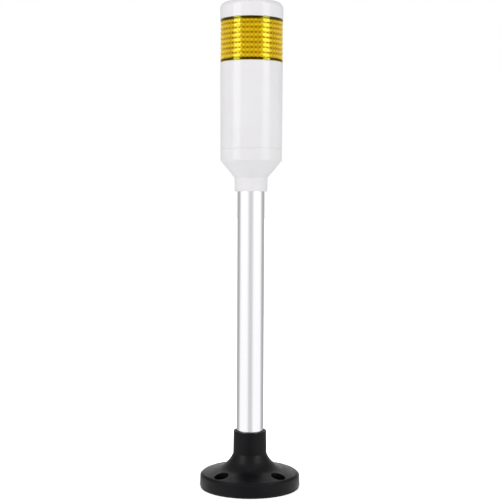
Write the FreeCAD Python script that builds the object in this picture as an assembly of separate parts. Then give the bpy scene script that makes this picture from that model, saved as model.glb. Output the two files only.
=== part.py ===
import FreeCAD, Part
import math
import os

os.makedirs("parts", exist_ok=True)

# Single-tier stack light on a tube: a round foot, an aluminium tube, a white head, a lens and a cap.
# Millimetres. +Z is up, the front faces -Y, and the origin is the middle of the face it stands on.

Vector = FreeCAD.Vector
AXIS = Vector(0, 0, 1)
ORIGIN = Vector(0, 0, 0)

# ---- driving dimensions ----
# Fits
fit_gap = 0.05  # between pieces of one assembly
turning_gap = 0.1  # between the cap and what it turns against

# Foot
gasket_thickness = 1.5
gasket_radius = 40.1
flange_radius = 40.6
rim_height = 10.8
rim_draft = 0.3
ledge_radius = 38.9
step_height = 1.2
cone_slope = 16.0  # degrees
flare_centre = (32.1, 33.95)
flare_radius = 19.6
collar_radius = 13.6
collar_top_radius = 13.3
collar_top = 46.0
shell_wall = 2.6
bolt_circle_radius = 32.0
bolt_azimuths = (45.0, 135.0, 225.0, 315.0)
bolt_hole_radius = 2.75
bolt_head_radius = 5.75
bolt_seat = 5.0

# Tube
tube_radius = 11.0
tube_wall = 1.2
tube_bottom = 8.0
tube_top = 259.0
stop_thickness = 2.0
stop_bore = 8.8
lead_in = 0.85

# Lower housing
neck_bottom = 240.4
neck_radius = 13.2
neck_top = 251.3
neck_top_radius = 13.4
shoulder = 265.1
shoulder_radius = 24.8
seam = 274.4
seam_radius = 24.9
spigot_top = 281.0
spigot_radius = 23.0
spigot_bore = 21.0

# Body tube and its collar
body_bore = 23.05
body_top = 343.2
body_top_radius = 25.2
lip_bottom = 336.5
lip_top = 339.5
lip_bore = 18.0
collar_bore = 21.4
lens_collar_radius = 23.65
lens_collar_top = 349.3
seal_groove_depth = 1.0
lens_seal_bottom = 343.5
lens_seal_height = 1.4

# Lens
lens_top = 377.25
lens_radius = 25.15
lens_valley_radius = 24.6
lens_band_radius = 25.1
lens_bore = 23.8
ring_count = 8
ring_pitch = 3.9
ring_stack_top = 376.2
flute_count = 48
flute_valley_radius = 23.6
flute_crest_radius = 23.2
flute_bottom = 349.9
flute_top = 374.9

# Cap
cap_bottom = 377.3
cap_top = 391.0
cap_radius = 25.4
cap_corner = 5.0
cap_wall = 2.0
cap_side_wall = 1.65
cap_spigot_radius = 22.9
cap_spigot_bore = 21.1
cap_spigot_bottom = 375.0
cap_seal_bottom = 375.5

# Light unit
plate_thickness = 2.0
plate_radius = 21.3
stud_height = 1.5
board_thickness = 1.6
led_base_radius = 17.8
mast_half = 7.5
mast_wall = 1.5
mast_top = 372.0
led_board_width = 12.0
led_size = 5.0
led_height = 1.6
led_pitch = 6.3
leds_per_board = 4

# Cap hub (bayonet)
hub_neck_radius = 6.5
hub_lug_radius = 9.0
hub_lug_half_angle = 18.0
cap_lug_half_angle = 15.0
cap_lug_inner = 7.0
cap_socket_bore = 9.3
cap_socket_radius = 11.0
lug_azimuths = (90.0, 210.0, 330.0)

# Driver board
driver_half_width = 21.0
driver_bottom = 283.0
driver_top = 336.3
rail_inner = 19.4
rail_width = 1.55


# ---- helpers ----
def point(r, z):
    return Vector(r, 0, z)


def turned(*outline):
    """Solid of revolution about Z. The outline is (radius, height) corners joined by lines, and closes
    itself. A corner with four numbers is reached by an arc through its last two."""
    edges = []
    start = outline[0]
    for stop in outline[1:] + outline[:1]:
        if len(stop) == 4:
            curve = Part.Arc(point(*start[:2]), point(*stop[2:]), point(*stop[:2]))
        else:
            curve = Part.LineSegment(point(*start[:2]), point(*stop[:2]))
        edges.append(curve.toShape())
        start = stop
    return Part.Face(Part.Wire(edges)).revolve(ORIGIN, AXIS, 360)


def arc_point(centre, radius, angle):
    """Point of a circle in the (radius, height) plane, at an angle in degrees."""
    turn = math.radians(angle)
    return centre[0] + radius * math.cos(turn), centre[1] + radius * math.sin(turn)


def bulge(radius):
    """How far the middle of a rounded right-angled corner lies inside the corner, each way."""
    return radius * (1 - math.sqrt(0.5))


def arc_points(centre, radius, first, last, count):
    """Points along an arc, ends included, for walls made of a few short cones."""
    step = (last - first) / (count - 1)
    return [arc_point(centre, radius, first + number * step) for number in range(count)]


def ring(inner, outer, low, high):
    return turned((inner, low), (outer, low), (outer, high), (inner, high))


def rod(radius, low, high, x=0.0, y=0.0):
    return Part.makeCylinder(radius, high - low, Vector(x, y, low), AXIS)


def block(x, y, z):
    """Box between pairs of limits."""
    return Part.makeBox(x[1] - x[0], y[1] - y[0], z[1] - z[0], Vector(x[0], y[0], z[0]))


def sector(inner, outer, low, high, middle, half_angle):
    """Piece of a ring, centred on an azimuth."""
    wedge = Part.makeCylinder(outer, high - low, Vector(0, 0, low), AXIS, 2 * half_angle)
    piece = wedge.cut(rod(inner, low, high))
    return piece.rotated(ORIGIN, AXIS, middle - half_angle)


def around(shape, azimuth):
    """Copy of a shape drawn at azimuth 0, turned to an azimuth."""
    return shape.rotated(ORIGIN, AXIS, azimuth)


def on_circle(radius, azimuth):
    turn = math.radians(azimuth)
    return radius * math.cos(turn), radius * math.sin(turn)


def pan_screw(length, shank, head, head_height):
    """Screw along Z, with its seat at height 0, its head above and a cross recess in it."""
    crown = 0.35 * head_height
    screw = turned(
        (0, -length),
        (0.4 * shank, -length),
        (shank, -length + shank),
        (shank, 0),
        (head, 0),
        (head, head_height - crown),
        (head - crown, head_height, head - 0.3 * crown, head_height - 0.3 * crown),
        (0, head_height),
    )
    wing = 0.55 * head
    slit = 0.14 * head
    recess = (head_height - 0.5 * head_height, head_height + 1)
    screw = screw.cut(block((-wing, wing), (-slit, slit), recess))
    return screw.cut(block((-slit, slit), (-wing, wing), recess))


def radial_screw(azimuth, seat_radius, height, length, shank, head, head_height):
    """Pan screw that points at the axis, with its seat at a radius."""
    screw = pan_screw(length, shank, head, head_height).rotated(ORIGIN, Vector(0, 1, 0), 90)
    screw.translate(Vector(seat_radius, 0, height))
    return around(screw, azimuth)


def radial_hole(azimuth, start_radius, stop_radius, height, radius):
    hole = Part.makeCylinder(
        radius, stop_radius - start_radius, Vector(start_radius, 0, height), Vector(1, 0, 0)
    )
    return around(hole, azimuth)


def placed(shape, x, y, z):
    copy = shape.copy()
    copy.translate(Vector(x, y, z))
    return copy


def export(shape, node):
    shape.exportStep("parts/" + node + ".step")


# ---- screws that hold the tube, on the back ----
tube_screw_azimuths = {"right": 50.0, "left": 130.0}
tube_screw_shank = 1.4
tube_screw_head = 2.8
tube_screw_head_height = 1.7
tube_screw_tip = tube_radius - tube_wall - 0.4
collar_screw_height = 37.0
collar_screw_seat = 12.8
neck_screw_height = 245.5
neck_screw_seat = 12.7


def cut_for_tube_screws(shape, height, seat):
    """Pilot holes and flat seats for the two screws at one end of the tube."""
    for azimuth in tube_screw_azimuths.values():
        pilot = radial_hole(azimuth, tube_radius - 3, seat + 3, height, tube_screw_shank + fit_gap)
        spot = radial_hole(azimuth, seat, seat + 3, height, tube_screw_head + 0.3)
        shape = shape.cut(pilot).cut(spot)
    return shape


for end, height, seat in (
    ("collar", collar_screw_height, collar_screw_seat),
    ("neck", neck_screw_height, neck_screw_seat),
):
    for side, azimuth in tube_screw_azimuths.items():
        length = seat - tube_screw_tip
        size = (tube_screw_shank, tube_screw_head, tube_screw_head_height)
        export(radial_screw(azimuth, seat, height, length, *size), end + "_screw_" + side)

# ---- foot ----
gasket = ring(10.5, gasket_radius, 0, gasket_thickness)
for azimuth in bolt_azimuths:
    gasket = gasket.cut(rod(bolt_hole_radius + 0.45, -1, 3, *on_circle(bolt_circle_radius, azimuth)))
export(gasket, "base_gasket")

flare_start = -90 - cone_slope
flare_end = -math.degrees(math.acos((collar_radius - flare_centre[0]) / flare_radius))
flare_mid = 0.5 * (flare_start + flare_end)
flare_foot = arc_point(flare_centre, flare_radius, flare_start)
flare_head = arc_point(flare_centre, flare_radius, flare_end)
slope = math.tan(math.radians(cone_slope))
rim_top_radius = flange_radius - rim_draft
rim_edge = 0.8
collar_edge = 0.3
step_radius = ledge_radius - 0.2
cone_edge = step_radius - 0.4
cone_edge_height = flare_foot[1] - slope * (cone_edge - flare_foot[0])
stop_bottom = tube_bottom - stop_thickness
socket_radius = tube_radius + fit_gap

outside = turned(
    (0, gasket_thickness),
    (flange_radius, gasket_thickness),
    (rim_top_radius, rim_height - rim_edge),
    (rim_top_radius - rim_edge, rim_height),
    (ledge_radius, rim_height),
    (step_radius, rim_height + 0.6 * step_height),
    (cone_edge, cone_edge_height),
    flare_foot,
    flare_head + arc_point(flare_centre, flare_radius, flare_mid),
    (collar_top_radius, collar_top - collar_edge),
    (collar_top_radius - collar_edge, collar_top),
    (0, collar_top),
)
wall_arc = flare_radius + shell_wall
socket_wall_radius = collar_radius + 0.4
inner_end = -math.degrees(math.acos((socket_wall_radius - flare_centre[0]) / wall_arc))
inner_arc = arc_points(flare_centre, wall_arc, flare_start, inner_end, 5)
rim_inside = flange_radius - rim_draft - 2.4
underside = turned(
    (socket_wall_radius, gasket_thickness - 1),
    (rim_inside + 0.1, gasket_thickness - 1),
    (rim_inside, inner_arc[0][1] - slope * (rim_inside - inner_arc[0][0])),
    *inner_arc,
)
flange = outside.cut(underside)
rib_half = 0.9
rib = block((socket_radius + 1, rim_inside + 1), (-rib_half, rib_half), (gasket_thickness + 0.5, 16))
for step in range(8):
    flange = flange.fuse(around(rib, 22.5 + 45 * step).common(outside))
for azimuth in bolt_azimuths:
    x, y = on_circle(bolt_circle_radius, azimuth)
    flange = flange.fuse(rod(bolt_head_radius + 2, gasket_thickness, 16, x, y).common(outside))
for azimuth in bolt_azimuths:
    x, y = on_circle(bolt_circle_radius, azimuth)
    flange = flange.cut(rod(bolt_hole_radius, 0, 16, x, y))
    flange = flange.cut(rod(bolt_head_radius, bolt_seat, 20, x, y))
bore = turned(
    (0, 0),
    (10.5, 0),
    (10.5, stop_bottom),
    (stop_bore, stop_bottom),
    (stop_bore, tube_bottom),
    (socket_radius, tube_bottom),
    (socket_radius, collar_top - lead_in),
    (socket_radius + lead_in, collar_top),
    (socket_radius + lead_in, collar_top + 1),
    (0, collar_top + 1),
)
flange = cut_for_tube_screws(flange.cut(bore), collar_screw_height, collar_screw_seat)
export(flange.removeSplitter(), "base_flange")

# ---- tube ----
tube_bore = tube_radius - tube_wall
tube = ring(tube_bore, tube_radius, tube_bottom, tube_top)
for height in (collar_screw_height, neck_screw_height):
    for azimuth in tube_screw_azimuths.values():
        tube = tube.cut(radial_hole(azimuth, 5, 15, height, tube_screw_shank + fit_gap))
export(tube, "pole_tube")


# ---- rubber bushes in the two stops, where the leads pass ----
def wire_bush(stop_low):
    """Bush with a lip on each side of a stop."""
    low = stop_low - 1.5
    high = stop_low + stop_thickness + 1.5
    neck = stop_bore - fit_gap
    return turned(
        (7.0, low + 0.4),
        (7.4, low),
        (9.7, low),
        (9.7, stop_low),
        (neck, stop_low),
        (neck, stop_low + stop_thickness),
        (9.7, stop_low + stop_thickness),
        (9.4, high),
        (7.4, high),
        (7.0, high - 0.4),
    )


export(wire_bush(stop_bottom), "wire_bush_foot")
export(wire_bush(tube_top), "wire_bush_top")

# ---- lower housing ----
cone_run = (shoulder_radius - neck_top_radius) / (shoulder - neck_top)
hollow_low = 254.0
hollow_high = 262.8
socket_top = tube_top + stop_thickness
tube_sleeve = neck_radius + 0.1
neck_edge = 0.25
housing = turned(
    (socket_radius + lead_in, neck_bottom),
    (neck_radius - neck_edge, neck_bottom),
    (neck_radius, neck_bottom + neck_edge),
    (neck_top_radius, neck_top),
    (shoulder_radius - 0.5 * cone_run, shoulder - 0.5),
    (shoulder_radius - 0.12, shoulder - 0.02),
    (shoulder_radius, shoulder + 0.6),
    (seam_radius, seam - 0.25),
    (seam_radius - 0.25, seam),
    (spigot_radius, seam),
    (spigot_radius, spigot_top - 0.5),
    (spigot_radius - 0.5, spigot_top),
    (spigot_bore, spigot_top),
    (spigot_bore, hollow_high),
    (tube_sleeve + 0.3, hollow_low),
    (tube_sleeve, hollow_low),
    (tube_sleeve, socket_top),
    (stop_bore, socket_top),
    (stop_bore, tube_top),
    (socket_radius, tube_top),
    (socket_radius, neck_bottom + lead_in),
)
web = block((tube_sleeve - 0.5, spigot_bore + 0.5), (-0.8, 0.8), (hollow_low - 1, socket_top))
web_limit = turned(
    (tube_sleeve - 0.3, hollow_low - 0.5),
    (tube_sleeve + 0.7, hollow_low - 0.5),
    (spigot_bore + 0.6, hollow_high),
    (spigot_bore + 0.6, spigot_top),
    (tube_sleeve - 0.3, spigot_top),
)
for step in range(6):
    housing = housing.fuse(around(web, 30 + 60 * step).common(web_limit))
board_post = block((18.4, 22.4), (-2.4, 4.0), (socket_top + 3, driver_bottom))
post_limit = rod(spigot_radius - 0.2, socket_top, driver_bottom)
for azimuth in (0, 180):
    post = board_post if azimuth == 0 else board_post.mirror(ORIGIN, Vector(1, 0, 0))
    housing = housing.fuse(post.common(post_limit))
bead = turned(
    (spigot_radius - 0.3, spigot_top - 3.2),
    (spigot_radius, spigot_top - 3.2),
    (spigot_radius + 0.3, spigot_top - 2.6),
    (spigot_radius, spigot_top - 2.0),
    (spigot_radius - 0.3, spigot_top - 2.0),
)
housing = cut_for_tube_screws(housing.fuse(bead), neck_screw_height, neck_screw_seat)
export(housing.removeSplitter(), "lower_housing")

# ---- body tube ----
groove_radius = lens_collar_radius - seal_groove_depth
groove_bottom = lens_seal_bottom - fit_gap
groove_top = lens_seal_bottom + lens_seal_height + fit_gap
body_edge = 0.4
body = turned(
    (body_bore, seam),
    (seam_radius - 0.25, seam),
    (seam_radius, seam + 0.25),
    (body_top_radius, body_top - body_edge),
    (body_top_radius - body_edge, body_top),
    (groove_radius, body_top),
    (groove_radius, groove_top),
    (lens_collar_radius, groove_top),
    (lens_collar_radius, lens_collar_top - 0.5),
    (lens_collar_radius - 0.5, lens_collar_top),
    (collar_bore, lens_collar_top),
    (collar_bore, lip_top),
    (lip_bore, lip_top),
    (lip_bore, lip_bottom),
    (body_bore, lip_bottom),
    (body_bore, spigot_top - 1.9),
    (body_bore + 0.35, spigot_top - 2.6),
    (body_bore, spigot_top - 3.3),
)
rail_limit = rod(body_bore + 0.5, 200, 400)
rail_high = lip_bottom - 4
for low_y in (-fit_gap - rail_width, board_thickness + fit_gap):
    for sign in (-1, 1):
        limits = sorted((sign * rail_inner, sign * (body_bore + 1)))
        rail = block(limits, (low_y, low_y + rail_width), (driver_bottom + 1, rail_high))
        body = body.fuse(rail.common(rail_limit))
plate_screw_radius = 19.6
plate_screw_shank = 1.3
for azimuth in lug_azimuths:
    x, y = on_circle(plate_screw_radius, azimuth - 30)
    body = body.cut(rod(plate_screw_shank + fit_gap, lip_bottom - 1, lip_top + 1, x, y))
export(body.removeSplitter(), "body_tube")

# ---- lens seal ----
seal_inner = groove_radius + fit_gap
seal_outer = lens_bore - 0.02
seal_top = lens_seal_bottom + lens_seal_height
export(
    turned(
        (seal_inner, lens_seal_bottom),
        (seal_outer - 0.4, lens_seal_bottom),
        (seal_outer, 0.5 * (lens_seal_bottom + seal_top)),
        (seal_outer - 0.4, seal_top),
        (seal_inner, seal_top),
    ),
    "lens_seal",
)

# ---- lens ----
outer_line = [(lens_bore, body_top), (lens_band_radius, body_top)]
ring_stack_bottom = ring_stack_top - ring_count * ring_pitch
outer_line.append((lens_band_radius, ring_stack_bottom))
outer_line.append((lens_valley_radius, ring_stack_bottom))
ring_crest = lens_radius - lens_valley_radius
for number in range(ring_count):
    for share in (0.25, 0.5, 0.75, 1.0):
        height = ring_stack_bottom + (number + share) * ring_pitch
        swell = ring_crest * (1 - (2 * share - 1) ** 2)
        outer_line.append((lens_valley_radius + swell, height))
outer_line.append((lens_band_radius, ring_stack_top))
outer_line.append((lens_band_radius, lens_top - 0.3))
outer_line.append((lens_band_radius - 0.3, lens_top))
outer_line.append((lens_bore, lens_top))
outer_line.append((lens_bore, flute_top))
outer_line.append((flute_crest_radius - 1, flute_top))
outer_line.append((flute_crest_radius - 1, flute_bottom))
outer_line.append((lens_bore, flute_bottom))
flutes = []
for number in range(flute_count):
    turns = [360 * (number + share) / flute_count for share in (0, 0.5, 1)]
    radii = (flute_valley_radius, flute_crest_radius, flute_valley_radius)
    corners = [Vector(*on_circle(r, a), flute_bottom - 1) for r, a in zip(radii, turns)]
    flutes.append(Part.Arc(*corners).toShape())
fluted_core = Part.Face(Part.Wire(flutes)).extrude(Vector(0, 0, flute_top - flute_bottom + 2))
export(turned(*outer_line).cut(fluted_core), "lens")

# ---- cap seal ----
cap_seal_top = cap_bottom - fit_gap
cap_seal_inner = cap_spigot_radius - 0.25 + fit_gap
cap_seal_outer = lens_bore - turning_gap
export(
    turned(
        (cap_seal_inner, cap_seal_bottom),
        (cap_seal_outer - 0.35, cap_seal_bottom),
        (cap_seal_outer, 0.5 * (cap_seal_bottom + cap_seal_top)),
        (cap_seal_outer - 0.35, cap_seal_top),
        (cap_seal_inner, cap_seal_top),
    ),
    "cap_seal",
)

# ---- cap ----
ceiling = cap_top - cap_wall
corner_inside = cap_corner - 1.2
cap_inside = cap_radius - cap_side_wall
cap_edge = 0.25
cap = turned(
    (0, ceiling),
    (cap_inside - corner_inside, ceiling),
    (cap_inside, ceiling - corner_inside, cap_inside - bulge(corner_inside), ceiling - bulge(corner_inside)),
    (cap_inside, cap_bottom + 1.8),
    (cap_spigot_bore, cap_bottom + 1.8),
    (cap_spigot_bore, cap_spigot_bottom),
    (cap_spigot_radius - 0.3, cap_spigot_bottom),
    (cap_spigot_radius, cap_spigot_bottom + 0.3),
    (cap_spigot_radius, cap_seal_bottom - fit_gap),
    (cap_spigot_radius - 0.25, cap_seal_bottom - fit_gap),
    (cap_spigot_radius - 0.25, cap_bottom),
    (cap_radius - cap_edge, cap_bottom),
    (cap_radius, cap_bottom + cap_edge),
    (cap_radius, cap_top - cap_corner),
    (cap_radius - cap_corner, cap_top, cap_radius - bulge(cap_corner), cap_top - bulge(cap_corner)),
    (0, cap_top),
)
lug_low = 375.3
lug_high = 377.1
cap = cap.fuse(ring(cap_socket_bore, cap_socket_radius, lug_low, ceiling + 0.5))
for azimuth in lug_azimuths:
    lug = sector(cap_lug_inner, cap_socket_bore + 0.5, lug_low, lug_high, azimuth, cap_lug_half_angle)
    cap = cap.fuse(lug)
    rib = block((cap_socket_radius - 0.5, cap_inside + 0.5), (-0.75, 0.75), (cap_bottom + 3, ceiling + 0.5))
    cap = cap.fuse(around(rib, azimuth))
export(cap.removeSplitter(), "top_cap")

# ---- head plate and its screws ----
plate_top = lip_top + plate_thickness
base_board_bottom = plate_top + stud_height
plate = turned((0, lip_top), (plate_radius, lip_top), (plate_radius, plate_top), (0, plate_top))
stud_radius = 15.0
for azimuth in lug_azimuths:
    x, y = on_circle(stud_radius, azimuth)
    plate = plate.fuse(rod(2.4, lip_top - 4, base_board_bottom, x, y))
    plate = plate.cut(rod(1.0 + fit_gap, lip_top - 3, base_board_bottom + 1, x, y))
    x, y = on_circle(plate_screw_radius, azimuth - 30)
    plate = plate.cut(rod(plate_screw_shank + 0.15, lip_top - 5, plate_top + 1, x, y))
link_y = 3.6
plate = plate.cut(block((-6.5, 6.5), (link_y - 2.6, link_y + 2.6), (lip_top - 1, plate_top + 1)))
export(plate.removeSplitter(), "head_plate")

plate_screw = pan_screw(7.5 - 2.6, plate_screw_shank, 1.55, 1.6)
for number, azimuth in enumerate(lug_azimuths, 1):
    x, y = on_circle(plate_screw_radius, azimuth - 30)
    export(placed(plate_screw, x, y, plate_top), "head_plate_screw_" + str(number))

# ---- round board at the foot of the light unit ----
base_board_top = base_board_bottom + board_thickness
led_base = rod(led_base_radius, base_board_bottom, base_board_top)
for azimuth in lug_azimuths:
    led_base = led_base.cut(rod(1.2, 340, 350, *on_circle(stud_radius, azimuth)))
pin_pitch = 2.54
pin_places = [pin_pitch * (number - 1.5) for number in range(4)]
pin_half = 0.32
for x in pin_places:
    hole = block(
        (x - pin_half - fit_gap, x + pin_half + fit_gap),
        (link_y - pin_half - fit_gap, link_y + pin_half + fit_gap),
        (340, 350),
    )
    led_base = led_base.cut(hole)
mast_screw_x = 4.6
for x in (-mast_screw_x, mast_screw_x):
    led_base = led_base.cut(rod(1.2, 340, 350, x, 0))
export(led_base, "led_base_board")

board_screw = pan_screw(base_board_top - lip_top + 1.5, 1.0, 2.1, 1.4)
for number, azimuth in enumerate(lug_azimuths, 1):
    x, y = on_circle(stud_radius, azimuth)
    export(placed(board_screw, x, y, base_board_top), "board_screw_" + str(number))

# ---- square post of the light unit ----
mast_inside = mast_half - mast_wall
hub_plug_bottom = mast_top - 3.0
web_low = hub_plug_bottom - 3.0
mast = block((-mast_half, mast_half), (-mast_half, mast_half), (base_board_top, mast_top))
mast = mast.cut(block((-mast_inside, mast_inside), (-mast_inside, mast_inside), (300, web_low)))
mast = mast.cut(block((-mast_inside, mast_inside), (-mast_inside, mast_inside), (hub_plug_bottom, 400)))
mast = mast.cut(rod(1.35 + fit_gap, web_low - 1, mast_top))
for x in (-mast_screw_x, mast_screw_x):
    boss = rod(2.3, base_board_top, base_board_top + 10, x, 0)
    boss = boss.cut(rod(0.95 + fit_gap, base_board_top - 1, base_board_top + 9, x, 0))
    mast = mast.fuse(boss)
    mast = mast.cut(rod(0.95 + fit_gap, base_board_top - 1, base_board_top + 9, x, 0))
mast_height = mast_top - base_board_top
mast_corners = [edge for edge in mast.Edges if abs(edge.Length - mast_height) < 0.01]
mast = mast.makeChamfer(0.5, mast_corners)
export(mast.removeSplitter(), "led_mast")

mast_screw = pan_screw(board_thickness + 7.0, 0.95, 1.9, 1.4).rotated(ORIGIN, Vector(1, 0, 0), 180)
for number, x in enumerate((-mast_screw_x, mast_screw_x), 1):
    export(placed(mast_screw, x, 0, base_board_bottom), "mast_screw_" + str(number))

# ---- upright LED boards and their LEDs ----
board_back = mast_half + fit_gap
board_front = board_back + board_thickness
led_board_top = mast_top - 0.6
led_board = block(
    (board_back, board_front),
    (-0.5 * led_board_width, 0.5 * led_board_width),
    (base_board_top, led_board_top),
)
middle_height = 0.5 * (base_board_top + led_board_top)
first_led = middle_height - 0.5 * (leds_per_board - 1) * led_pitch
leds = []
for number in range(leds_per_board):
    height = first_led + number * led_pitch
    package = block(
        (board_front, board_front + led_height),
        (-0.5 * led_size, 0.5 * led_size),
        (height - 0.5 * led_size, height + 0.5 * led_size),
    )
    well = Part.makeCone(2.0, 1.5, 0.8, Vector(board_front + led_height, 0, height), Vector(-1, 0, 0))
    leds.append(package.cut(well))
led_row = Part.makeCompound(leds)
for number in range(4):
    azimuth = -90 + 90 * number
    export(around(led_board, azimuth), "led_board_" + str(number + 1))
    export(around(led_row, azimuth), "led_row_" + str(number + 1))

# ---- hub that the cap locks onto ----
hub_lug_low = lug_high + turning_gap
hub_lug_high = hub_lug_low + 1.8
hub_top = hub_lug_high + 0.8
plug_half = mast_inside - fit_gap
screw_seat = hub_top - 2.0
hub = turned((0, mast_top), (10.6, mast_top), (10.6, mast_top + 1.5), (0, mast_top + 1.5))
hub = hub.fuse(rod(hub_neck_radius, mast_top, hub_top))
hub = hub.fuse(block((-plug_half, plug_half), (-plug_half, plug_half), (hub_plug_bottom, mast_top + 0.5)))
stop_half_angle = 2.75
stop_middle = -cap_lug_half_angle - 0.5 - stop_half_angle
for azimuth in lug_azimuths:
    hub = hub.fuse(
        sector(hub_neck_radius - 0.5, hub_lug_radius, hub_lug_low, hub_lug_high, azimuth, hub_lug_half_angle)
    )
    stop = sector(
        hub_neck_radius - 0.5,
        hub_lug_radius,
        mast_top + 1,
        hub_lug_low + 0.5,
        azimuth + stop_middle,
        stop_half_angle,
    )
    hub = hub.fuse(stop)
hub = hub.cut(rod(1.5, 360, 385))
hub = hub.cut(rod(3.2, screw_seat, 385))
export(hub.removeSplitter(), "cap_hub")
hub_screw = pan_screw(screw_seat - web_low - 0.5, 1.35, 2.9, 1.8)
export(placed(hub_screw, 0, 0, screw_seat), "hub_screw")

# ---- driver board ----
driver = block(
    (-driver_half_width, driver_half_width), (0, board_thickness), (driver_bottom, driver_top)
)
export(driver, "driver_board")

terminal_half = 10.2
terminal_low = driver_bottom + 1.0
terminal_high = terminal_low + 11.0
terminal_depth = 9.0
terminal = block((-terminal_half, terminal_half), (-terminal_depth, 0), (terminal_low, terminal_high))
shelf = block((-20, 20), (-terminal_depth - 1, -terminal_depth + 2.2), (terminal_high - 3, terminal_high + 1))
terminal = terminal.cut(shelf)
screw_height = terminal_low + 4.5
screw_places = [5.08 * (number - 1.5) for number in range(4)]
facing = Vector(0, 1, 0)
for x in screw_places:
    terminal = terminal.cut(block((x - 1.6, x + 1.6), (-5.6, -2.4), (terminal_low - 1, terminal_low + 6.5)))
    terminal = terminal.cut(
        Part.makeCylinder(1.75, 5, Vector(x, -terminal_depth - 1, screw_height), facing)
    )
export(terminal, "terminal_block")
terminal_screw = turned((0, 0), (1.2, 0), (1.2, 2.4), (1.7, 2.4), (1.7, 4.0), (0, 4.0))
terminal_screw = terminal_screw.cut(block((-2, 2), (-0.25, 0.25), (3.2, 5)))
terminal_screw = terminal_screw.rotated(ORIGIN, Vector(1, 0, 0), 90)
for number, x in enumerate(screw_places, 1):
    export(placed(terminal_screw, x, -4.6, screw_height), "terminal_screw_" + str(number))


# ---- components on the front of the driver board ----
def towards_front(shape, x, z):
    """Component drawn standing on height 0, laid over so that it stands out of the board's front."""
    return placed(shape.rotated(ORIGIN, Vector(1, 0, 0), 90), x, 0, z)


capacitor = turned(
    (0, 0),
    (4.7, 0),
    (5.0, 0.3),
    (5.0, 1.8),
    (4.6, 2.3),
    (5.0, 2.8),
    (5.0, 15.6),
    (4.6, 16.0),
    (0, 16.0),
)
score = block((-3.6, 3.6), (-0.3, 0.3), (15.7, 17))
capacitor = capacitor.cut(score).cut(score.rotated(ORIGIN, AXIS, 90))
export(towards_front(capacitor, -8.0, 321.0), "smoothing_capacitor")

rectifier = block((-4.2, 4.2), (-3.2, 3.2), (0, 3.4))
rectifier = rectifier.makeChamfer(0.5, [edge for edge in rectifier.Edges if abs(edge.Length - 3.4) < 0.01])
export(towards_front(rectifier, 9.5, 304.0), "bridge_rectifier")

regulator_tab = block((-5.0, 5.0), (2.0, 8.6), (0, 1.3))
regulator_tab = regulator_tab.cut(rod(1.8, -1, 3, 0, 5.8))
regulator = block((-5.0, 5.0), (-7.0, 2.0), (0, 4.4)).fuse(regulator_tab)
export(towards_front(regulator.removeSplitter(), 7.0, 321.0), "regulator")

chip = block((-4.9, 4.9), (-3.2, 3.2), (0.5, 3.8))
chip = chip.cut(Part.makeCylinder(0.8, 2, Vector(-4.9, 0, 3.0), AXIS))
for x in (-3.81, -1.27, 1.27, 3.81):
    for side in (-1, 1):
        leg = block((x - 0.3, x + 0.3), sorted((side * 3.0, side * 3.7)), (0, 2.4))
        chip = chip.fuse(leg)
export(towards_front(chip.removeSplitter(), -4.0, 307.5), "flasher_chip")

varistor = Part.makeCylinder(4.2, 3.6, Vector(0, -1.8, 5.4), Vector(0, 1, 0))
varistor = varistor.fuse(rod(0.35, 0, 2.0, -2.5, 0)).fuse(rod(0.35, 0, 2.0, 2.5, 0))
export(towards_front(varistor.removeSplitter(), -14.0, 301.0), "varistor")

resistors = []
for height in (299.5, 308.6, 311.6):
    barrel = Part.makeCylinder(1.1, 6.0, Vector(11.5, -1.3, height), Vector(1, 0, 0))
    leads = Part.makeCylinder(0.3, 7.0, Vector(11.0, -1.3, height), Vector(1, 0, 0))
    resistor = barrel.fuse(leads)
    for x in (11.0, 17.7):
        resistor = resistor.fuse(block((x, x + 0.3), (-1.5, 0), (height - 0.3, height + 0.3)))
    resistors.append(resistor.removeSplitter())
export(Part.makeCompound(resistors), "resistors")

# ---- plug between the driver board and the light unit ----
socket_low = driver_top - 9.3
socket_high = driver_top - 0.3
socket_back = board_thickness
link_depth = 2 * (link_y - socket_back)
link_socket = block((-5.6, 5.6), (socket_back, socket_back + link_depth), (socket_low, socket_high))
pin_low = socket_low + 3.0
pins = []
for x in pin_places:
    reach = (x - pin_half, x + pin_half)
    depth = (link_y - pin_half, link_y + pin_half)
    pins.append(block(reach, depth, (pin_low, base_board_top + 0.8)))
    hole = block(
        (reach[0] - fit_gap, reach[1] + fit_gap),
        (depth[0] - fit_gap, depth[1] + fit_gap),
        (pin_low - 0.5, socket_high + 1),
    )
    link_socket = link_socket.cut(hole)
export(link_socket, "link_socket")
export(Part.makeCompound(pins), "link_pins")
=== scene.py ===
import math

import bmesh
import bpy
import numpy as np
from mathutils import Matrix


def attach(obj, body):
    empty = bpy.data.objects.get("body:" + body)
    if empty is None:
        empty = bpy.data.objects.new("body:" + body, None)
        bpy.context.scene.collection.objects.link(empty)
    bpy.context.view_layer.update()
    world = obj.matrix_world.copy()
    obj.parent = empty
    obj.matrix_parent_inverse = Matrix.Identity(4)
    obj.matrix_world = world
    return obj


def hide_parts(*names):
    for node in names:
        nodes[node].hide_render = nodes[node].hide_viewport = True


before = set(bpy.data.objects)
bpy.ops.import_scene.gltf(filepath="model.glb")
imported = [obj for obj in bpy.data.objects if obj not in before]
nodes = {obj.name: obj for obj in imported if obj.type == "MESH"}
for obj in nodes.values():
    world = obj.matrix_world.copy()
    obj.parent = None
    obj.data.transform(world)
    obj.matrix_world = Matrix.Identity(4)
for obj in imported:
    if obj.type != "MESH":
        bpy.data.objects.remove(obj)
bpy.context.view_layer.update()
mm = 0.001


# ---- The room ----
# A white studio sweep with two tall strip lights, one each side in front, and a weak even fill. The
# light stands on the sweep and is seen from a little over half its height.
eye_distance = 0.900
eye_height = 0.240
eye_aside = -0.0006
eye_pitch = 2.986
eye_roll = 0.26
focal_length = 80.18
picture_width = 36.0

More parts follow.
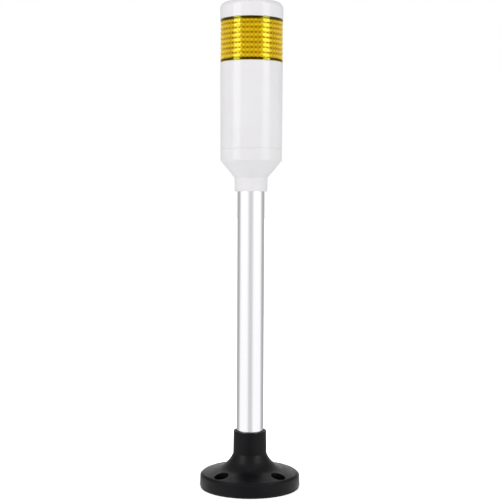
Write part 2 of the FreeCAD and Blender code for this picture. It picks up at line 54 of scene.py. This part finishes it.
camera = bpy.data.objects.new("camera", bpy.data.cameras.new("camera"))
camera.data.lens = focal_length
camera.data.sensor_width = picture_width
camera.matrix_world = (
    Matrix.Translation((eye_aside, -eye_distance, eye_height))
    @ Matrix.Rotation(math.radians(90 - eye_pitch), 4, "X")
    @ Matrix.Rotation(math.radians(eye_roll), 4, "Z")
)
bpy.context.scene.collection.objects.link(camera)
bpy.context.scene.camera = camera

view = bpy.context.scene.view_settings
view.view_transform = "Standard"
view.look = "None"

# Degrees round from the front, and how bright the room looks there.
wall_brightness = (
    (11, 0.66),
    (26, 1.02),
    (90, 1.02),
    (112, 0.44),
    (156, 0.44),
    (163, 1.0),
    (172, 1.0),
    (178, 0.66),
)


def bands(tree, place):
    """How bright the studio looks in a reflection, by the direction round the light.

    The angle from the front is atan2(|x|, -y), in turns of pi. Towards the front stands the dim
    camera side, then come the lit walls at both sides, dark gaps, and a lit wall at each side of
    the back.
    """
    parts = tree.nodes.new("ShaderNodeSeparateXYZ")
    tree.links.new(place, parts.inputs[0])
    aside = tree.nodes.new("ShaderNodeMath")
    aside.operation = "ABSOLUTE"
    ahead = tree.nodes.new("ShaderNodeMath")
    ahead.operation = "MULTIPLY"
    ahead.inputs[1].default_value = -1.0
    angle = tree.nodes.new("ShaderNodeMath")
    angle.operation = "ARCTAN2"
    share = tree.nodes.new("ShaderNodeMath")
    share.operation = "DIVIDE"
    share.inputs[1].default_value = math.pi
    tree.links.new(parts.outputs["X"], aside.inputs[0])
    tree.links.new(parts.outputs["Y"], ahead.inputs[0])
    tree.links.new(aside.outputs[0], angle.inputs[0])
    tree.links.new(ahead.outputs[0], angle.inputs[1])
    tree.links.new(angle.outputs[0], share.inputs[0])
    ramp = tree.nodes.new("ShaderNodeValToRGB")
    stops = ramp.color_ramp.elements
    while len(stops) < len(wall_brightness):
        stops.new(0.5)
    for stop, (degrees, value) in zip(stops, wall_brightness):
        stop.position = degrees / 180
        stop.color = (value, value, value, 1)
    tree.links.new(share.outputs[0], ramp.inputs["Fac"])
    return ramp.outputs["Color"]


def ray_mix(tree, kind, otherwise, chosen):
    """One shader for most rays and another for those of one kind."""
    rays = tree.nodes.new("ShaderNodeLightPath")
    choice = tree.nodes.new("ShaderNodeMixShader")
    tree.links.new(rays.outputs[kind], choice.inputs[0])
    tree.links.new(otherwise, choice.inputs[1])
    tree.links.new(chosen, choice.inputs[2])
    return choice.outputs[0]


def glow(tree, kind, strength, colour=(1, 1, 1, 1)):
    """A plain shining shader, a Background in the world or an Emission on a surface."""
    node = tree.nodes.new(kind)
    node.inputs["Color"].default_value = colour
    node.inputs["Strength"].default_value = strength
    return node


fill_colour = (0.975, 0.98, 1.0, 1)
fill_strength = 0.45
world = bpy.data.worlds.new("studio")
world.use_nodes = True
bpy.context.scene.world = world
tree = world.node_tree
place = tree.nodes.new("ShaderNodeTexCoord").outputs["Generated"]
fill = tree.nodes["Background"]
fill.inputs["Color"].default_value = fill_colour
fill.inputs["Strength"].default_value = fill_strength
walls = glow(tree, "ShaderNodeBackground", 1.0)
tree.links.new(bands(tree, place), walls.inputs["Color"])
backdrop = glow(tree, "ShaderNodeBackground", 1.0)
surface = ray_mix(tree, "Is Glossy Ray", fill.outputs[0], walls.outputs[0])
surface = ray_mix(tree, "Is Camera Ray", surface, backdrop.outputs[0])
surface = ray_mix(tree, "Is Transmission Ray", surface, backdrop.outputs[0])
tree.links.new(surface, tree.nodes["World Output"].inputs["Surface"])


def upright_lamp(name, azimuth, distance, bottom, width, height, radiance):
    """A rectangular lamp that stands upright, facing the light, some degrees from the front."""
    lamp = bpy.data.lights.new(name, "AREA")
    lamp.shape = "RECTANGLE"
    lamp.size = width
    lamp.size_y = height
    lamp.energy = radiance * math.pi * width * height
    upright = bpy.data.objects.new(name, lamp)
    turn = math.radians(azimuth)
    middle = bottom + 0.5 * height
    upright.location = (distance * math.sin(turn), -distance * math.cos(turn), middle)
    upright.rotation_euler = (math.radians(90), 0, turn)
    bpy.context.scene.collection.objects.link(upright)
    return upright


strip_azimuth = 55.0
strip_distance = 1.25
strip_bottom = 0.262
strip_width = 0.62
strip_height = 1.45
strip_radiances = ((-1, 3.2), (1, 2.95))
strip_colour = (1.0, 0.99, 0.985)
for side, radiance in strip_radiances:
    azimuth = side * strip_azimuth
    strip = upright_lamp(
        "strip", azimuth, strip_distance, strip_bottom, strip_width, strip_height, radiance
    )
    strip.data.color = strip_colour

# A soft light from behind keeps the back from going grey. Nothing mirrors it.
back_distance = 1.25
back_bottom = 0.1
back_width = 0.9
back_height = 1.3
back_radiance = 1.5
back_light = upright_lamp(
    "back_light", 180, back_distance, back_bottom, back_width, back_height, back_radiance
)
back_light.visible_camera = False
back_light.visible_glossy = False
back_light.visible_transmission = False

# The sweep is lit paper near the light, and plain white where it runs out of sight. It shines less
# under the foot, and gives back part of its glow to what stands on it.
sweep_radius = 9.0
sweep_sides = 96
sweep_rings = 24
paper_white = 0.80
foot_reach = 0.04
plain_reach = 0.13
glow_at_foot = 0.62
glow_given_back = 0.3
around = np.linspace(0, 2 * math.pi, sweep_sides, endpoint=False)
rings = np.concatenate([[0.02], np.geomspace(0.1, sweep_radius, sweep_rings)])
sheet = np.zeros((len(rings), len(around), 3))
sheet[..., 0] = rings[:, None] * np.cos(around)
sheet[..., 1] = rings[:, None] * np.sin(around)
number = np.arange(sheet[..., 0].size).reshape(sheet.shape[:2])
ahead = np.roll(number, -1, axis=1)
quads = np.stack([number[:-1], number[1:], ahead[1:], ahead[:-1]], axis=-1).reshape(-1, 4)
mesh = bpy.data.meshes.new("sweep")
mesh.from_pydata(sheet.reshape(-1, 3), [], quads.tolist() + [number[0].tolist()])
sweep = bpy.data.objects.new("sweep", mesh)
bpy.context.scene.collection.objects.link(sweep)
paper = bpy.data.materials.new("white_paper")
paper.use_nodes = True
tree = paper.node_tree
lit = tree.nodes["Principled BSDF"]
lit.inputs["Base Color"].default_value = (paper_white, paper_white, paper_white, 1)
lit.inputs["Roughness"].default_value = 1.0
lit.inputs["Specular IOR Level"].default_value = 0.0
lit.inputs["Emission Color"].default_value = (1, 1, 1, 1)
place = tree.nodes.new("ShaderNodeTexCoord")
reach = tree.nodes.new("ShaderNodeVectorMath")
reach.operation = "LENGTH"
fade = tree.nodes.new("ShaderNodeMapRange")
fade.inputs["From Min"].default_value = foot_reach
fade.inputs["From Max"].default_value = plain_reach
fade.inputs["To Min"].default_value = glow_at_foot
fade.inputs["To Max"].default_value = 1.0
seen = tree.nodes.new("ShaderNodeLightPath")
shine = tree.nodes.new("ShaderNodeMath")
shine.operation = "MULTIPLY"
bounce = tree.nodes.new("ShaderNodeMath")
bounce.operation = "MULTIPLY_ADD"
bounce.inputs[1].default_value = glow_given_back
tree.links.new(place.outputs["Object"], reach.inputs[0])
tree.links.new(reach.outputs["Value"], fade.inputs["Value"])
tree.links.new(fade.outputs["Result"], shine.inputs[0])
tree.links.new(seen.outputs["Is Camera Ray"], shine.inputs[1])
tree.links.new(seen.outputs["Is Diffuse Ray"], bounce.inputs[0])
tree.links.new(shine.outputs[0], bounce.inputs[2])
tree.links.new(bounce.outputs[0], lit.inputs["Emission Strength"])
table = glow(tree, "ShaderNodeEmission", 1.0)
tree.links.new(bands(tree, place.outputs["Object"]), table.inputs["Color"])
surface = ray_mix(tree, "Is Glossy Ray", lit.outputs[0], table.outputs[0])
tree.links.new(surface, tree.nodes["Material Output"].inputs["Surface"])
mesh.materials.append(paper)


# ---- Foot ----
# A black moulded flange with a trumpet-shaped socket for the tube, over a rubber pad of the same
# outline. Four bolts, sunk in pockets, hold both down. The plastic has a fine spark-eroded grain.
def finish(name, **sockets):
    """A material with one Principled shader. Its sockets are set by name, spaces as underscores."""
    material = bpy.data.materials.new(name)
    material.use_nodes = True
    shader = material.node_tree.nodes["Principled BSDF"]
    for socket, value in sockets.items():
        if isinstance(value, tuple):
            value = (*value, 1)
        shader.inputs[socket.replace("_", " ")].default_value = value
    return material


def grain(material, cells, stretch=(1, 1, 1), detail=2.0):
    """Noise over the piece's own coordinates, by cells a metre times the stretch on each axis."""
    tree = material.node_tree
    place = tree.nodes.new("ShaderNodeTexCoord")
    scale = tree.nodes.new("ShaderNodeMapping")
    scale.inputs["Scale"].default_value = tuple(cells * share for share in stretch)
    noise = tree.nodes.new("ShaderNodeTexNoise")
    noise.inputs["Scale"].default_value = 1.0
    noise.inputs["Detail"].default_value = detail
    tree.links.new(place.outputs["Object"], scale.inputs["Vector"])
    tree.links.new(scale.outputs["Vector"], noise.inputs["Vector"])
    return noise.outputs["Fac"]


def spread(material, value, low, high, socket="Roughness"):
    """Noise from 0.3 to 0.7 carried to a range of a socket."""
    tree = material.node_tree
    remap = tree.nodes.new("ShaderNodeMapRange")
    remap.inputs["From Min"].default_value = 0.3
    remap.inputs["From Max"].default_value = 0.7
    remap.inputs["To Min"].default_value = low
    remap.inputs["To Max"].default_value = high
    tree.links.new(value, remap.inputs["Value"])
    tree.links.new(remap.outputs["Result"], tree.nodes["Principled BSDF"].inputs[socket])


def tint(material, value, first, second):
    """The base colour between two colours, by noise."""
    tree = material.node_tree
    ramp = tree.nodes.new("ShaderNodeValToRGB")
    ramp.color_ramp.elements[0].position = 0.35
    ramp.color_ramp.elements[0].color = (*first, 1)
    ramp.color_ramp.elements[1].position = 0.65
    ramp.color_ramp.elements[1].color = (*second, 1)
    tree.links.new(value, ramp.inputs["Fac"])
    tree.links.new(ramp.outputs["Color"], tree.nodes["Principled BSDF"].inputs["Base Color"])


def relief(material, value, depth, strength=1.0):
    """Noise as height, in metres from low to high."""
    tree = material.node_tree
    bump = tree.nodes.new("ShaderNodeBump")
    bump.inputs["Distance"].default_value = depth
    bump.inputs["Strength"].default_value = strength
    tree.links.new(value, bump.inputs["Height"])
    tree.links.new(bump.outputs["Normal"], tree.nodes["Principled BSDF"].inputs["Normal"])


def dress(material, *names):
    for name in names:
        for node, piece in nodes.items():
            if node == name or (name.endswith("*") and node.startswith(name[:-1])):
                piece.data.materials.clear()
                piece.data.materials.append(material)


foot_plastic = finish("moulded_black_plastic", Roughness=0.4, IOR=1.5, Specular_IOR_Level=0.15)
tint(foot_plastic, grain(foot_plastic, 90), (0.0022, 0.0021, 0.0031), (0.0034, 0.0033, 0.0046))
spread(foot_plastic, grain(foot_plastic, 300), 0.3, 0.42)
relief(foot_plastic, grain(foot_plastic, 2200, detail=3), 0.03 * mm)
dress(foot_plastic, "base_flange")

rubber = finish("black_rubber", Roughness=0.8, IOR=1.4)
tint(rubber, grain(rubber, 200), (0.004, 0.004, 0.004), (0.009, 0.009, 0.009))
spread(rubber, grain(rubber, 600), 0.7, 0.85)
relief(rubber, grain(rubber, 1500), 0.04 * mm)
dress(rubber, "base_gasket")


# ---- Tube ----
# Drawn and clear-anodised aluminium tube. Its ends sit on stops in the foot and in the head, and a
# rubber bush in each stop lets the leads pass. Two plated self-cutting screws at the back hold each
# end.
drawn_aluminium = finish(
    "drawn_aluminium", Base_Color=(0.95, 0.95, 0.975), Metallic=1.0, Roughness=0.2
)
spread(drawn_aluminium, grain(drawn_aluminium, 900, (1, 1, 0.01), 3), 0.15, 0.22)
relief(drawn_aluminium, grain(drawn_aluminium, 1600, (1, 1, 0.008), 3), 0.001 * mm)
dress(drawn_aluminium, "pole_tube")
dress(rubber, "wire_bush_foot", "wire_bush_top")

plated_steel = finish("zinc_plated_steel", Metallic=1.0, Roughness=0.3)
tint(plated_steel, grain(plated_steel, 900), (0.56, 0.57, 0.60), (0.68, 0.67, 0.66))
spread(plated_steel, grain(plated_steel, 1500, detail=3), 0.22, 0.42)
relief(plated_steel, grain(plated_steel, 3000), 0.004 * mm)
dress(plated_steel, "collar_screw_*", "neck_screw_*")


# ---- Lower housing and body tube ----
# Two glossy white mouldings. The housing's neck takes the tube, its cone widens to the head, and
# the body tube snaps over its spigot. The moulded gloss is slightly uneven.
glossy_white = finish("glossy_white_plastic", Roughness=0.2, IOR=1.5, Specular_IOR_Level=0.42)
tint(glossy_white, grain(glossy_white, 30), (0.80, 0.79, 0.80), (0.83, 0.82, 0.83))
spread(glossy_white, grain(glossy_white, 120), 0.16, 0.24)
relief(glossy_white, grain(glossy_white, 700), 0.006 * mm)
dress(glossy_white, "lower_housing", "body_tube")


# ---- Driver board ----
# A white circuit board that slides into two rails in the body tube. It carries the green terminal
# block for the leads, the rectifier, capacitor, regulator and flasher chip, and the socket for the
# LED unit.
white_board = finish("white_circuit_board", Roughness=0.35)
tint(white_board, grain(white_board, 150), (0.72, 0.74, 0.71), (0.80, 0.82, 0.79))
spread(white_board, grain(white_board, 500), 0.28, 0.42)
relief(white_board, grain(white_board, 2500), 0.006 * mm)
dress(white_board, "driver_board")

terminal_plastic = finish("green_terminal_plastic", Roughness=0.4)
tint(terminal_plastic, grain(terminal_plastic, 250), (0.045, 0.27, 0.105), (0.06, 0.33, 0.135))
spread(terminal_plastic, grain(terminal_plastic, 700), 0.32, 0.48)
relief(terminal_plastic, grain(terminal_plastic, 2500), 0.008 * mm)
dress(terminal_plastic, "terminal_block")
dress(plated_steel, "terminal_screw_*")

component_epoxy = finish("black_component_epoxy", Roughness=0.45)
tint(component_epoxy, grain(component_epoxy, 400), (0.02, 0.02, 0.021), (0.036, 0.035, 0.036))
spread(component_epoxy, grain(component_epoxy, 1200), 0.38, 0.55)
relief(component_epoxy, grain(component_epoxy, 4000), 0.01 * mm)
dress(component_epoxy, "flasher_chip", "bridge_rectifier", "regulator", "link_socket")

capacitor_sleeve = finish("shrunk_capacitor_sleeve", Roughness=0.25, Coat_Weight=0.3)
drawn_grain = grain(capacitor_sleeve, 300, (1, 1, 0.2))
tint(capacitor_sleeve, drawn_grain, (0.022, 0.032, 0.08), (0.04, 0.052, 0.11))
spread(capacitor_sleeve, grain(capacitor_sleeve, 500), 0.18, 0.3)
relief(capacitor_sleeve, grain(capacitor_sleeve, 900, (1, 1, 0.15)), 0.015 * mm)
dress(capacitor_sleeve, "smoothing_capacitor")

varistor_coat = finish("dipped_varistor_coat", Roughness=0.35)
tint(varistor_coat, grain(varistor_coat, 500), (0.035, 0.115, 0.34), (0.065, 0.17, 0.46))
spread(varistor_coat, grain(varistor_coat, 900), 0.28, 0.45)
relief(varistor_coat, grain(varistor_coat, 1100), 0.04 * mm)
dress(varistor_coat, "varistor")

resistor_coat = finish("resistor_lacquer", Roughness=0.4)
tint(resistor_coat, grain(resistor_coat, 700), (0.55, 0.40, 0.24), (0.68, 0.53, 0.35))
spread(resistor_coat, grain(resistor_coat, 1500), 0.3, 0.5)
relief(resistor_coat, grain(resistor_coat, 2200), 0.015 * mm)
dress(resistor_coat, "resistors")

gold_plate = finish("gold_plated_pins", Metallic=1.0, Roughness=0.25)
tint(gold_plate, grain(gold_plate, 1200), (0.80, 0.61, 0.22), (0.87, 0.69, 0.30))
spread(gold_plate, grain(gold_plate, 2500), 0.18, 0.32)
dress(gold_plate, "link_pins")


# ---- Head plate and LED unit ----
# A white plate is screwed to the body tube's lip. A square white mast stands on it, with a board of
# four surface-mounted amber LEDs on each side, on a round board that plugs into the driver board.
satin_white = finish("satin_white_plastic", Roughness=0.5)
tint(satin_white, grain(satin_white, 60), (0.78, 0.77, 0.75), (0.84, 0.83, 0.81))
spread(satin_white, grain(satin_white, 300), 0.42, 0.58)
relief(satin_white, grain(satin_white, 1200), 0.01 * mm)
dress(satin_white, "head_plate", "led_mast")
dress(white_board, "led_base_board", "led_board_*")
dress(plated_steel, "head_plate_screw_*", "board_screw_*", "mast_screw_*")

led_package = finish("led_package", Roughness=0.3)
tint(led_package, grain(led_package, 500), (0.85, 0.74, 0.32), (0.90, 0.82, 0.45))
spread(led_package, grain(led_package, 1500), 0.22, 0.38)
dress(led_package, "led_row_*")


# ---- Lens ----
# One clear amber moulding, pushed over the collar of the body tube and sealed at both ends. Eight
# round-backed rings run round its outside, and upright flutes line its bore, so that the two
# together split the light into a grid. That grid of light and dark is also painted into its colour.

# Heights and radii are in millimetres, the same as the solid's.
lens_low = 343.2
lens_high = 377.25
lens_bore = 23.8
band_radius = 25.1
ring_radius = 25.15
ring_depth = 0.55
ring_count = 8
ring_pitch = 3.9
ring_top = 376.2
flute_count = 48
flute_depth = 0.4
flute_low = 349.9
flute_high = 374.9
flute_root = 23.6
columns_per_flute = 12
rows_per_ring = 13
rows_of_flutes = 30
edge_break = 0.15
rim_round = 0.3
# Heights of the dark bands where the seals show through; the upper one also holds painted shade
# below its seal.
lower_dark = (343.5, 345.1)
upper_seal_and_shade = (374.6, 376.0)
dress(rubber, "lens_seal")


def grid_faces(number):
    """Four-cornered faces between neighbouring rows and columns of a grid of point numbers."""
    corners = [number[:-1, :-1], number[:-1, 1:], number[1:, 1:], number[1:, :-1]]
    return np.stack(corners, axis=-1).reshape(-1, 4)


def add_piece(name, points, faces, material, body, slot, *replaced, crease=30, fields=None):
    """A new piece from points in millimetres, smooth across edges that turn under the crease."""
    mesh = bpy.data.meshes.new(name)
    mesh.from_pydata(points * mm, [], faces.tolist())
    for field, values in (fields or {}).items():
        layer = mesh.attributes.new(field, "FLOAT", "POINT")
        layer.data.foreach_set("value", np.asarray(values, np.float32).ravel())
    form = bmesh.new()
    form.from_mesh(mesh)
    bmesh.ops.remove_doubles(form, verts=form.verts, dist=1e-7)
    form.to_mesh(mesh)
    form.free()
    mesh.polygons.foreach_set("use_smooth", np.ones(len(mesh.polygons), bool))
    mesh.set_sharp_from_angle(angle=math.radians(crease))
    mesh.materials.append(material)
    piece = bpy.data.objects.new(name, mesh)
    bpy.context.scene.collection.objects.link(piece)
    piece.modifiers.new("even_shading", "WEIGHTED_NORMAL").keep_sharp = True
    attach(piece, body)
    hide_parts(*replaced)
    return piece


ring_low = ring_top - ring_count * ring_pitch
rows = [(lens_bore, lens_low), (band_radius - edge_break, lens_low)]
rows += [(band_radius, lens_low + edge_break)]
rows += [(band_radius, lower_dark[0] - 0.05), (band_radius, lower_dark[0])]
rows += [(band_radius, ring_low)]
share = np.linspace(0, 1, rows_per_ring)
for ring in range(ring_count):
    swell = ring_radius - ring_depth * (2 * share - 1) ** 2
    rows += list(zip(swell, ring_low + (ring + share) * ring_pitch))
rows += [(band_radius, ring_top), (band_radius, lens_high - rim_round)]
rows += [(band_radius - 0.1, lens_high - 0.1), (band_radius - rim_round, lens_high)]
rows += [(lens_bore, lens_high), (lens_bore, flute_high)]
outer_rows = len(rows)
heights = np.linspace(flute_high, flute_low, rows_of_flutes)
rows += [(flute_root, height) for height in heights]
fluted_rows = len(rows)
rows += [(lens_bore, flute_low)]
rows = np.array(rows)
columns = flute_count * columns_per_flute
turn = np.arange(columns) * 2 * np.pi / columns
part_of_flute = (np.arange(columns) % columns_per_flute) / columns_per_flute
radius = np.repeat(rows[:, :1], columns, axis=1)
height = np.repeat(rows[:, 1:], columns, axis=1)
inside = slice(outer_rows, fluted_rows)
radius[inside] -= flute_depth * (1 - (2 * part_of_flute - 1) ** 2)
points = np.stack([radius * np.cos(turn), radius * np.sin(turn), height], axis=-1)
number = np.arange(radius.size).reshape(radius.shape)
number = np.pad(number, ((0, 1), (0, 1)), mode="wrap")

# Painted light and shade on the lens are kept on the points as a number that picks its amber. It is
# darkest, a painted shade, where a groove crosses the edge between two flutes, and palest, a
# painted highlight, on the ring's back over such an edge. The seals show through the plastic at
# both ends as dark bands, drawn a little wider than the seals themselves.
ring_middle = 0.4
ring_swing = 0.4
plain_band = 0.35
shade_below_seal = 0.78
seal_dark = 1.0
part_of_ring = (height - ring_low) / ring_pitch
grid = 0.5 + 0.5 * np.cos(2 * np.pi * part_of_flute)
painted_grid_light_and_seals = ring_middle + ring_swing * np.cos(2 * np.pi * part_of_ring) * grid
outer = np.arange(len(rows))[:, None] < outer_rows - 1
ringed = outer & (height > ring_low - 0.01) & (height < ring_top + 0.01)
painted_grid_light_and_seals = np.where(ringed, painted_grid_light_and_seals, plain_band)
low_dark = outer & (height > lower_dark[0] - 0.01) & (height < lower_dark[1] - 0.04)
painted_grid_light_and_seals = np.where(low_dark, seal_dark, painted_grid_light_and_seals)
# The upper band runs below its seal with a graded edge, and that lower part is painted shade.
high_dark = outer & (height > upper_seal_and_shade[0]) & (height < lens_high - 0.05)
up_the_band = np.clip((height - upper_seal_and_shade[0]) / (upper_seal_and_shade[1] - upper_seal_and_shade[0]), 0, 1)
shade = shade_below_seal + (seal_dark - shade_below_seal) * up_the_band
painted_grid_light_and_seals = np.where(high_dark, np.maximum(shade, painted_grid_light_and_seals), painted_grid_light_and_seals)

lens_amber = finish(
    "amber_polycarbonate",
    Roughness=0.06,
    IOR=1.585,
    Transmission_Weight=0.5,
    Specular_IOR_Level=0.28,
    Specular_Tint=(1.0, 0.97, 0.05),
    Sheen_Weight=0.25,
    Sheen_Roughness=0.3,
    Sheen_Tint=(1.0, 0.93, 0.02),
)
# Amber by the painted number: pale for painted highlights, plain amber, dark brown for painted
# shade, near black for the seals.
amber_by_light_shade_and_seals = (
    (0.0, (1.0, 0.92, 0.05)),
    (0.4, (0.82, 0.52, 0.001)),
    (0.8, (0.28, 0.115, 0.0)),
    (1.0, (0.012, 0.005, 0.0)),
)
tree = lens_amber.node_tree
# The shader reads the painted light and shade of the grid, and the seal bands, from the points.
depth = tree.nodes.new("ShaderNodeAttribute")
depth.attribute_name = "painted_grid_light_and_seals"
ramp = tree.nodes.new("ShaderNodeValToRGB")
stops = ramp.color_ramp.elements
while len(stops) < len(amber_by_light_shade_and_seals):
    stops.new(0.5)
for stop, (place, colour) in zip(stops, amber_by_light_shade_and_seals):
    stop.position = place
    stop.color = (*colour, 1)
tree.links.new(depth.outputs["Fac"], ramp.inputs["Fac"])
tree.links.new(ramp.outputs["Color"], tree.nodes["Principled BSDF"].inputs["Base Color"])
lens = add_piece(
    "ribbed_lens",
    points.reshape(-1, 3),
    grid_faces(number),
    lens_amber,
    "stand",
    "amber_lens",
    "lens",
    fields={"painted_grid_light_and_seals": painted_grid_light_and_seals},
)

# Four strips light the lens alone: two glossy ones in front draw the bright upright bands on its
# rings, and two soft ones from behind make its edges glow. Each is given as its degrees from the
# front, its radiance and whether it is a glossy one.
lens_strips = ((56.0, 11.5, True), (128.0, 6.0, False))
lens_strip_distance = 0.5
lens_strip_bottom = 0.01
lens_strip_width = 0.23
lens_strip_height = 0.98
lens_only = bpy.data.collections.new("lens_only")
lens_only.objects.link(lens)
for azimuth, radiance, glossy in lens_strips:
    for side in (-1, 1):
        strip = upright_lamp(
            "lens_strip",
            side * azimuth,
            lens_strip_distance,
            lens_strip_bottom,
            lens_strip_width,
            lens_strip_height,
            radiance,
        )
        strip.visible_camera = False
        strip.visible_diffuse = not glossy
        strip.visible_glossy = glossy
        strip.visible_transmission = False
        strip.light_linking.receiver_collection = lens_only


# ---- Cap ----
# A white cap, moulded like the body. It closes the lens over a rubber ring, and its socket locks
# with a short turn over the lugs of a hub, which is screwed into the top of the mast.
dress(glossy_white, "top_cap")
dress(rubber, "cap_seal")
dress(satin_white, "cap_hub")
dress(plated_steel, "hub_screw")
